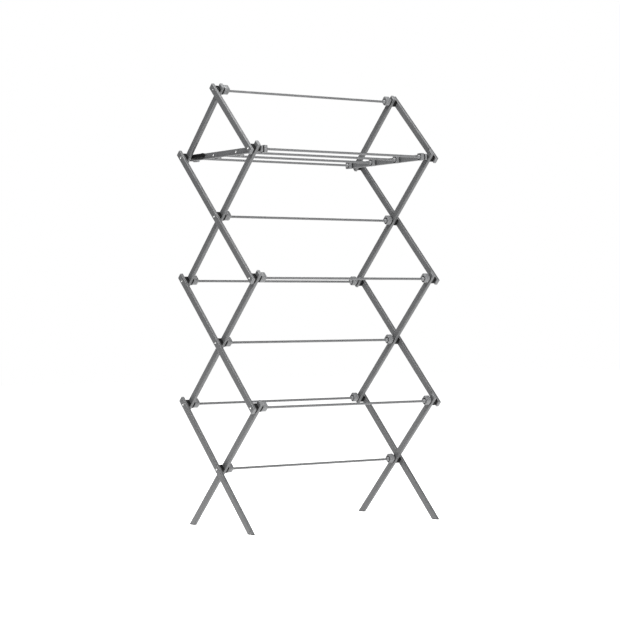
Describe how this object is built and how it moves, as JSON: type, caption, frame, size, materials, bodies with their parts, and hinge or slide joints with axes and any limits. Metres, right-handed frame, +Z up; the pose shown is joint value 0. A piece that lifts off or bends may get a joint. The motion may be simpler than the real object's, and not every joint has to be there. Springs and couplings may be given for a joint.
{
  "type": "clothes drying rack",
  "caption": "Free-standing folding clothes drying rack: two crossed-bar end frames joined by hanging rods, with a slatted top shelf that hooks over the rear pivots.",
  "frame": {"origin": "on the floor, midway between the end frames and between the front and rear pivots", "axes": "+X along the rods to the right end frame, +Y from the front to the rear, +Z up"},
  "size_m": [0.7476, 0.4546, 1.43],
  "materials": {
    "frame_tube": "satin grey powder coat",
    "rod": "satin grey powder coat",
    "grey_moulding": "fine moulded grey",
    "dark_moulding": "fine moulded charcoal",
    "rivet": "bright plated",
    "foot": "matt moulded grey"
  },
  "bodies": {
    "bottom_cross": {"bottom_cross_rod": "rod", "bottom_cross_pins": "rivet"},
    "leg_inner": {"leg_inner_bar_left": "frame_tube", "leg_inner_bar_right": "frame_tube", "leg_inner_plugs": "grey_moulding", "leg_inner_feet": "foot", "leg_connectors": "grey_moulding", "leg_pins": "rivet", "leg_spacers": "dark_moulding", "lower_front_rod": "rod"},
    "leg_outer": {"leg_outer_bar_left": "frame_tube", "leg_outer_bar_right": "frame_tube", "leg_outer_plugs": "grey_moulding", "leg_outer_feet": "foot"},
    "lower_outer": {"lower_outer_bar_left": "frame_tube", "lower_outer_bar_right": "frame_tube", "lower_outer_plugs": "grey_moulding"},
    "lower_inner": {"lower_inner_bar_left": "frame_tube", "lower_inner_bar_right": "frame_tube", "lower_inner_plugs": "grey_moulding", "lower_connectors": "grey_moulding", "lower_pins": "rivet", "lower_spacers": "dark_moulding", "upper_front_rod": "rod", "lower_cross_rod": "rod", "lower_rear_rod": "rod"},
    "upper_outer": {"upper_outer_bar_left": "frame_tube", "upper_outer_bar_right": "frame_tube", "upper_outer_plugs": "grey_moulding"},
    "upper_inner": {"upper_inner_bar_left": "frame_tube", "upper_inner_bar_right": "frame_tube", "upper_inner_plugs": "grey_moulding", "upper_connectors": "grey_moulding", "upper_pins": "rivet", "upper_spacers": "dark_moulding", "upper_cross_rod": "rod", "upper_rear_rod": "rod", "shelf_pivot_pins": "rivet", "shelf_pivot_bushes": "dark_moulding"},
    "top_outer": {"top_outer_bar_left": "frame_tube", "top_outer_bar_right": "frame_tube", "top_outer_plugs": "grey_moulding"},
    "top_inner": {"top_inner_bar_left": "frame_tube", "top_inner_bar_right": "frame_tube", "top_inner_plugs": "grey_moulding", "top_connectors": "grey_moulding", "top_pins": "rivet", "top_spacers": "dark_moulding", "hook_pins": "rivet", "top_rod": "rod"},
    "shelf": {"shelf_bar_left": "frame_tube", "shelf_bar_right": "frame_tube", "shelf_hooks": "dark_moulding", "shelf_connectors": "grey_moulding", "shelf_screws": "rivet", "shelf_plugs": "grey_moulding", "shelf_front_rod": "rod", "shelf_mid_front_rod": "rod", "shelf_mid_rear_rod": "rod", "shelf_rear_rod": "rod"}
  },
  "joints": [
    {"name": "fold", "type": "hinge", "parent": "bottom_cross", "child": "leg_inner", "pos_m": [0, 0, 0.193], "axis": [1, 0, 0], "range_deg": [0, 38]},
    {"name": "leg_outer_fold", "type": "hinge", "parent": "bottom_cross", "child": "leg_outer", "pos_m": [0, 0, 0.193], "axis": [1, 0, 0], "range_deg": [-38, 0]},
    {"name": "lower_outer_fold", "type": "hinge", "parent": "leg_inner", "child": "lower_outer", "pos_m": [0, -0.2025, 0.3955], "axis": [1, 0, 0], "range_deg": [-76, 0]},
    {"name": "lower_inner_fold", "type": "hinge", "parent": "leg_outer", "child": "lower_inner", "pos_m": [0, 0.2025, 0.3955], "axis": [1, 0, 0], "range_deg": [0, 76]},
    {"name": "upper_outer_fold", "type": "hinge", "parent": "lower_inner", "child": "upper_outer", "pos_m": [0, -0.2025, 0.8005], "axis": [1, 0, 0], "range_deg": [-76, 0]},
    {"name": "upper_inner_fold", "type": "hinge", "parent": "lower_outer", "child": "upper_inner", "pos_m": [0, 0.2025, 0.8005], "axis": [1, 0, 0], "range_deg": [0, 76]},
    {"name": "top_outer_fold", "type": "hinge", "parent": "upper_inner", "child": "top_outer", "pos_m": [0, -0.2025, 1.2055], "axis": [1, 0, 0], "range_deg": [-76, 0]},
    {"name": "top_inner_fold", "type": "hinge", "parent": "upper_outer", "child": "top_inner", "pos_m": [0, 0.2025, 1.2055], "axis": [1, 0, 0], "range_deg": [0, 76]},
    {"name": "shelf_turn", "type": "hinge", "parent": "upper_inner", "child": "shelf", "pos_m": [0, -0.2025, 1.2055], "axis": [1, 0, 0], "range_deg": [-38, 0]}
  ],
  "couplings": [
    {"joint": "leg_outer_fold", "follows": "fold", "ratio": -1},
    {"joint": "lower_outer_fold", "follows": "fold", "ratio": -2},
    {"joint": "lower_inner_fold", "follows": "fold", "ratio": 2},
    {"joint": "upper_outer_fold", "follows": "fold", "ratio": -2},
    {"joint": "upper_inner_fold", "follows": "fold", "ratio": 2},
    {"joint": "top_outer_fold", "follows": "fold", "ratio": -2},
    {"joint": "top_inner_fold", "follows": "fold", "ratio": 2},
    {"joint": "shelf_turn", "follows": "fold", "ratio": -1}
  ]
}
